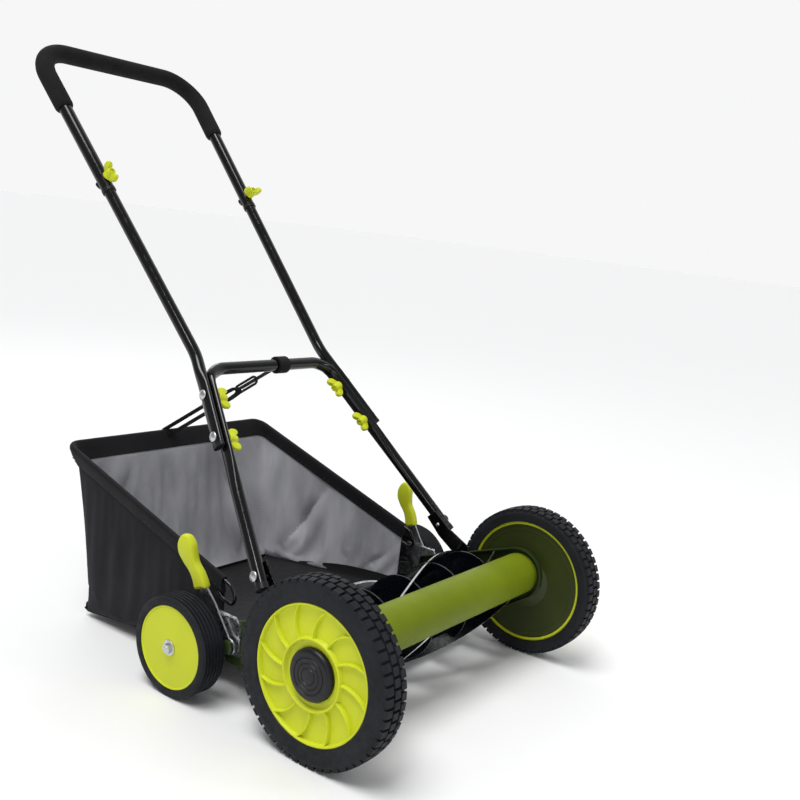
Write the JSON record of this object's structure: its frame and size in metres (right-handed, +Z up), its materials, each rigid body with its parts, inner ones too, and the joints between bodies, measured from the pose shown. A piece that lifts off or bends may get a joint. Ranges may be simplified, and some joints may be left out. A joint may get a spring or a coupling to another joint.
{
  "type": "push reel mower",
  "caption": "Push reel mower with a helical reel geared to its front wheels, rear wheels on height levers, a tubular handle and a lift-off grass bag.",
  "frame": {"origin": "on the floor, under the centre of the bounding box", "axes": "+Z up; the mower cuts towards -Y, so the bag is on the +Y side; +X is the left side for the person who pushes it"},
  "size_m": [0.6092, 0.9878, 0.9387],
  "materials": {
    "lime_plastic": "moulded, satin gloss",
    "olive_paint": "powder coat, semi-gloss",
    "green_paint": "powder coat, semi-gloss",
    "black_paint": "powder coat, gloss",
    "black_plastic": "moulded, satin",
    "tyre": "moulded rubber, matt",
    "foam": "closed-cell foam, matt",
    "reel_steel": "black enamel with honed edges",
    "zinc": "zinc plated",
    "bag_cloth": "woven mesh with bound edges",
    "webbing": "woven webbing"
  },
  "bodies": {
    "mower_frame": {"side_plate_left": "green_paint", "side_plate_right": "green_paint", "front_tube": "olive_paint", "bed_knife": "zinc", "cutter_bar": "black_paint", "rear_tie_rod": "black_paint", "front_axle_left": "zinc", "front_axle_right": "zinc", "reel_bearing_left": "zinc", "reel_bearing_right": "zinc", "gear_cover_left": "olive_paint", "gear_cover_right": "olive_paint", "height_quadrant_left": "zinc", "height_quadrant_right": "zinc", "lower_handle": "black_paint", "middle_tube_left": "black_paint", "middle_tube_right": "black_paint", "joint_bolt_low_left": "zinc", "joint_bolt_low_right": "zinc", "joint_bolt_high_left": "zinc", "joint_bolt_high_right": "zinc", "leg_bolt_left": "zinc", "leg_bolt_right": "zinc", "upper_bolt_left": "zinc", "upper_bolt_right": "zinc", "upper_handle": "black_paint", "foam_grip": "foam", "strap_collar": "webbing"},
    "front_wheel_left": {"front_wheel_left": "lime_plastic", "front_tyre_left": "tyre", "hub_cap_left": "black_plastic"},
    "front_wheel_right": {"front_wheel_right": "lime_plastic", "front_tyre_right": "tyre", "hub_cap_right": "black_plastic"},
    "pinion_left": {"pinion_left": "zinc"},
    "pinion_right": {"pinion_right": "zinc"},
    "reel": {"reel_shaft": "reel_steel", "reel_blade_1": "reel_steel", "reel_blade_2": "reel_steel", "reel_blade_3": "reel_steel", "reel_blade_4": "reel_steel", "reel_blade_5": "reel_steel"},
    "height_lever_left": {"height_lever_left": "zinc", "lever_grip_left": "lime_plastic"},
    "rear_wheel_left": {"rear_tyre_left": "tyre", "rear_disc_left": "lime_plastic"},
    "height_lever_right": {"height_lever_right": "zinc", "lever_grip_right": "lime_plastic"},
    "rear_wheel_right": {"rear_tyre_right": "tyre", "rear_disc_right": "lime_plastic"},
    "joint_knob_low_left": {"joint_knob_low_left": "lime_plastic"},
    "joint_knob_low_right": {"joint_knob_low_right": "lime_plastic"},
    "joint_knob_high_left": {"joint_knob_high_left": "lime_plastic"},
    "joint_knob_high_right": {"joint_knob_high_right": "lime_plastic"},
    "upper_knob_left": {"upper_knob_left": "lime_plastic"},
    "upper_knob_right": {"upper_knob_right": "lime_plastic"},
    "grass_bag": {"bag_frame": "black_paint", "bag_fabric": "bag_cloth", "bag_tray": "black_plastic", "bag_strap": "webbing"}
  },
  "joints": [
    {"name": "front_wheel_spin_left", "type": "hinge", "parent": "mower_frame", "child": "front_wheel_left", "pos_m": [0.27, -0.36692, 0.127], "axis": [1, 0, 0], "continuous": true},
    {"name": "front_wheel_spin_right", "type": "hinge", "parent": "mower_frame", "child": "front_wheel_right", "pos_m": [-0.27, -0.36692, 0.127], "axis": [1, 0, 0], "continuous": true},
    {"name": "pinion_spin_left", "type": "hinge", "parent": "mower_frame", "child": "pinion_left", "pos_m": [0.2645, -0.29207, 0.10505], "axis": [1, 0, 0], "continuous": true},
    {"name": "pinion_spin_right", "type": "hinge", "parent": "mower_frame", "child": "pinion_right", "pos_m": [-0.2645, -0.29207, 0.10505], "axis": [1, 0, 0], "continuous": true},
    {"name": "reel_spin", "type": "hinge", "parent": "mower_frame", "child": "reel", "pos_m": [0, -0.29207, 0.10505], "axis": [1, 0, 0], "continuous": true},
    {"name": "height_lever_pivot_left", "type": "hinge", "parent": "mower_frame", "child": "height_lever_left", "pos_m": [0.2495, -0.17692, 0.088], "axis": [1, 0, 0], "range_deg": [-6, 28]},
    {"name": "rear_wheel_spin_left", "type": "hinge", "parent": "height_lever_left", "child": "rear_wheel_left", "pos_m": [0.278, -0.10692, 0.075], "axis": [1, 0, 0], "continuous": true},
    {"name": "height_lever_pivot_right", "type": "hinge", "parent": "mower_frame", "child": "height_lever_right", "pos_m": [-0.2495, -0.17692, 0.088], "axis": [1, 0, 0], "range_deg": [-6, 28]},
    {"name": "rear_wheel_spin_right", "type": "hinge", "parent": "height_lever_right", "child": "rear_wheel_right", "pos_m": [-0.278, -0.10692, 0.075], "axis": [1, 0, 0], "continuous": true},
    {"name": "joint_knob_turn_low_left", "type": "hinge", "parent": "mower_frame", "child": "joint_knob_low_left", "pos_m": [0.1693, -0.05148, 0.35684], "axis": [0.9685, 0.1701, 0.1817], "continuous": true},
    {"name": "joint_knob_turn_low_right", "type": "hinge", "parent": "mower_frame", "child": "joint_knob_low_right", "pos_m": [-0.1693, -0.05148, 0.35684], "axis": [-0.9685, 0.1701, 0.1817], "continuous": true},
    {"name": "joint_knob_turn_high_left", "type": "hinge", "parent": "mower_frame", "child": "joint_knob_high_left", "pos_m": [0.15054, -0.0016, 0.41015], "axis": [0.9685, 0.1701, 0.1817], "continuous": true},
    {"name": "joint_knob_turn_high_right", "type": "hinge", "parent": "mower_frame", "child": "joint_knob_high_right", "pos_m": [-0.15054, -0.0016, 0.41015], "axis": [-0.9685, 0.1701, 0.1817], "continuous": true},
    {"name": "upper_knob_turn_left", "type": "hinge", "parent": "mower_frame", "child": "upper_knob_left", "pos_m": [0.15875, 0.28401, 0.71535], "axis": [0, -0.7302, 0.6833], "continuous": true},
    {"name": "upper_knob_turn_right", "type": "hinge", "parent": "mower_frame", "child": "upper_knob_right", "pos_m": [-0.15875, 0.28401, 0.71535], "axis": [0, -0.7302, 0.6833], "continuous": true},
    {"name": "grass_bag_lift_off", "type": "slide", "parent": "mower_frame", "child": "grass_bag", "axis": [0, 0.9397, 0.342], "range_m": [0, 0.25]}
  ],
  "couplings": [
    {"joint": "pinion_spin_left", "follows": "front_wheel_spin_left", "ratio": 6.2},
    {"joint": "pinion_spin_right", "follows": "front_wheel_spin_right", "ratio": 6.2},
    {"joint": "reel_spin", "follows": "front_wheel_spin_left", "ratio": 6.2}
  ]
}
